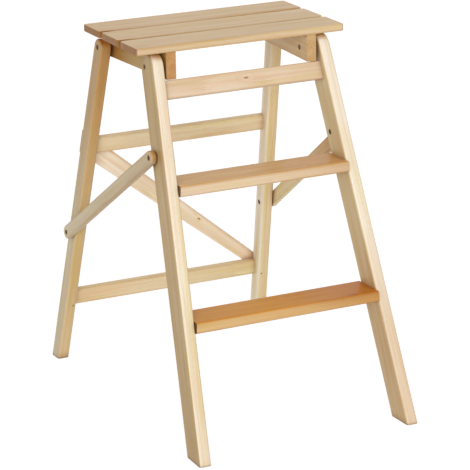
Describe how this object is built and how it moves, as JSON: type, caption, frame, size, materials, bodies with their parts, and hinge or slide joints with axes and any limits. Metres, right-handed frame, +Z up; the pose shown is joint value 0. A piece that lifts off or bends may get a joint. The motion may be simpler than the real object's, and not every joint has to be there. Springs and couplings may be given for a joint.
{
  "type": "folding step stool chair",
  "caption": "Wooden folding step stool: slatted seat on cleats, stepped front frame, braced rear frame and side stays that let it fold flat.",
  "frame": {"origin": "on the floor, at the middle of the feet's outline", "axes": "+Z up, +Y to the rear, +X to the sitter's or climber's right as they face the treads"},
  "size_m": [0.4342, 0.6306, 0.66],
  "materials": {
    "seat_wood": "clear matt varnish on pale birch",
    "cleat_wood": "clear matt varnish on pale birch",
    "frame_wood": "clear matt varnish on pale birch",
    "tread_wood": "clear matt varnish on pale birch",
    "brace_wood": "clear matt varnish on pale birch",
    "dark_steel": "dark oiled steel",
    "zinc_steel": "dull zinc"
  },
  "bodies": {
    "front_frame": {"front_leg_left": "frame_wood", "front_leg_right": "frame_wood", "top_rail": "frame_wood", "tread_upper": "tread_wood", "tread_lower": "tread_wood", "seat_pivot_bolts": "dark_steel", "seat_pivot_nuts": "dark_steel", "stay_top_bolts": "dark_steel", "stay_top_nuts": "dark_steel", "stay_top_washers": "zinc_steel"},
    "seat": {"seat_slat_front": "seat_wood", "seat_slat_middle": "seat_wood", "seat_slat_rear": "seat_wood", "cleat_left": "cleat_wood", "cleat_right": "cleat_wood", "slat_screws": "zinc_steel", "seat_pivot_washers": "zinc_steel", "rear_pivot_bolts": "dark_steel", "rear_pivot_nuts": "dark_steel", "rear_pivot_washers": "zinc_steel"},
    "rear_frame": {"rear_leg_left": "frame_wood", "rear_leg_right": "frame_wood", "crossbar_upper": "frame_wood", "crossbar_lower": "frame_wood", "diagonal_brace": "brace_wood", "brace_screws": "zinc_steel", "crossbar_pins": "zinc_steel", "stay_bottom_nuts": "dark_steel"},
    "stay_left": {"stay_left": "brace_wood", "stay_bottom_bolt_left": "dark_steel", "stay_bottom_washer_left": "zinc_steel"},
    "stay_right": {"stay_right": "brace_wood", "stay_bottom_bolt_right": "dark_steel", "stay_bottom_washer_right": "zinc_steel"}
  },
  "joints": [
    {"name": "seat_fold", "type": "hinge", "parent": "front_frame", "child": "seat", "pos_m": [0, -0.04211, 0.62], "axis": [-1, 0, 0], "range_deg": [0, 95.4]},
    {"name": "rear_frame_fold", "type": "hinge", "parent": "seat", "child": "rear_frame", "pos_m": [0, 0.13489, 0.62], "axis": [1, 0, 0], "range_deg": [0, 59.72]},
    {"name": "stay_left_fold", "type": "hinge", "parent": "front_frame", "child": "stay_left", "pos_m": [0, -0.09644, 0.47697], "axis": [-1, 0, 0], "range_deg": [0, 70.54]},
    {"name": "stay_right_fold", "type": "hinge", "parent": "front_frame", "child": "stay_right", "pos_m": [0, -0.09644, 0.47697], "axis": [-1, 0, 0], "range_deg": [0, 70.54]}
  ],
  "couplings": [
    {"joint": "rear_frame_fold", "follows": "seat_fold", "ratio": 0.62588},
    {"joint": "stay_left_fold", "follows": "seat_fold", "ratio": 0.7393},
    {"joint": "stay_right_fold", "follows": "seat_fold", "ratio": 0.7393}
  ]
}
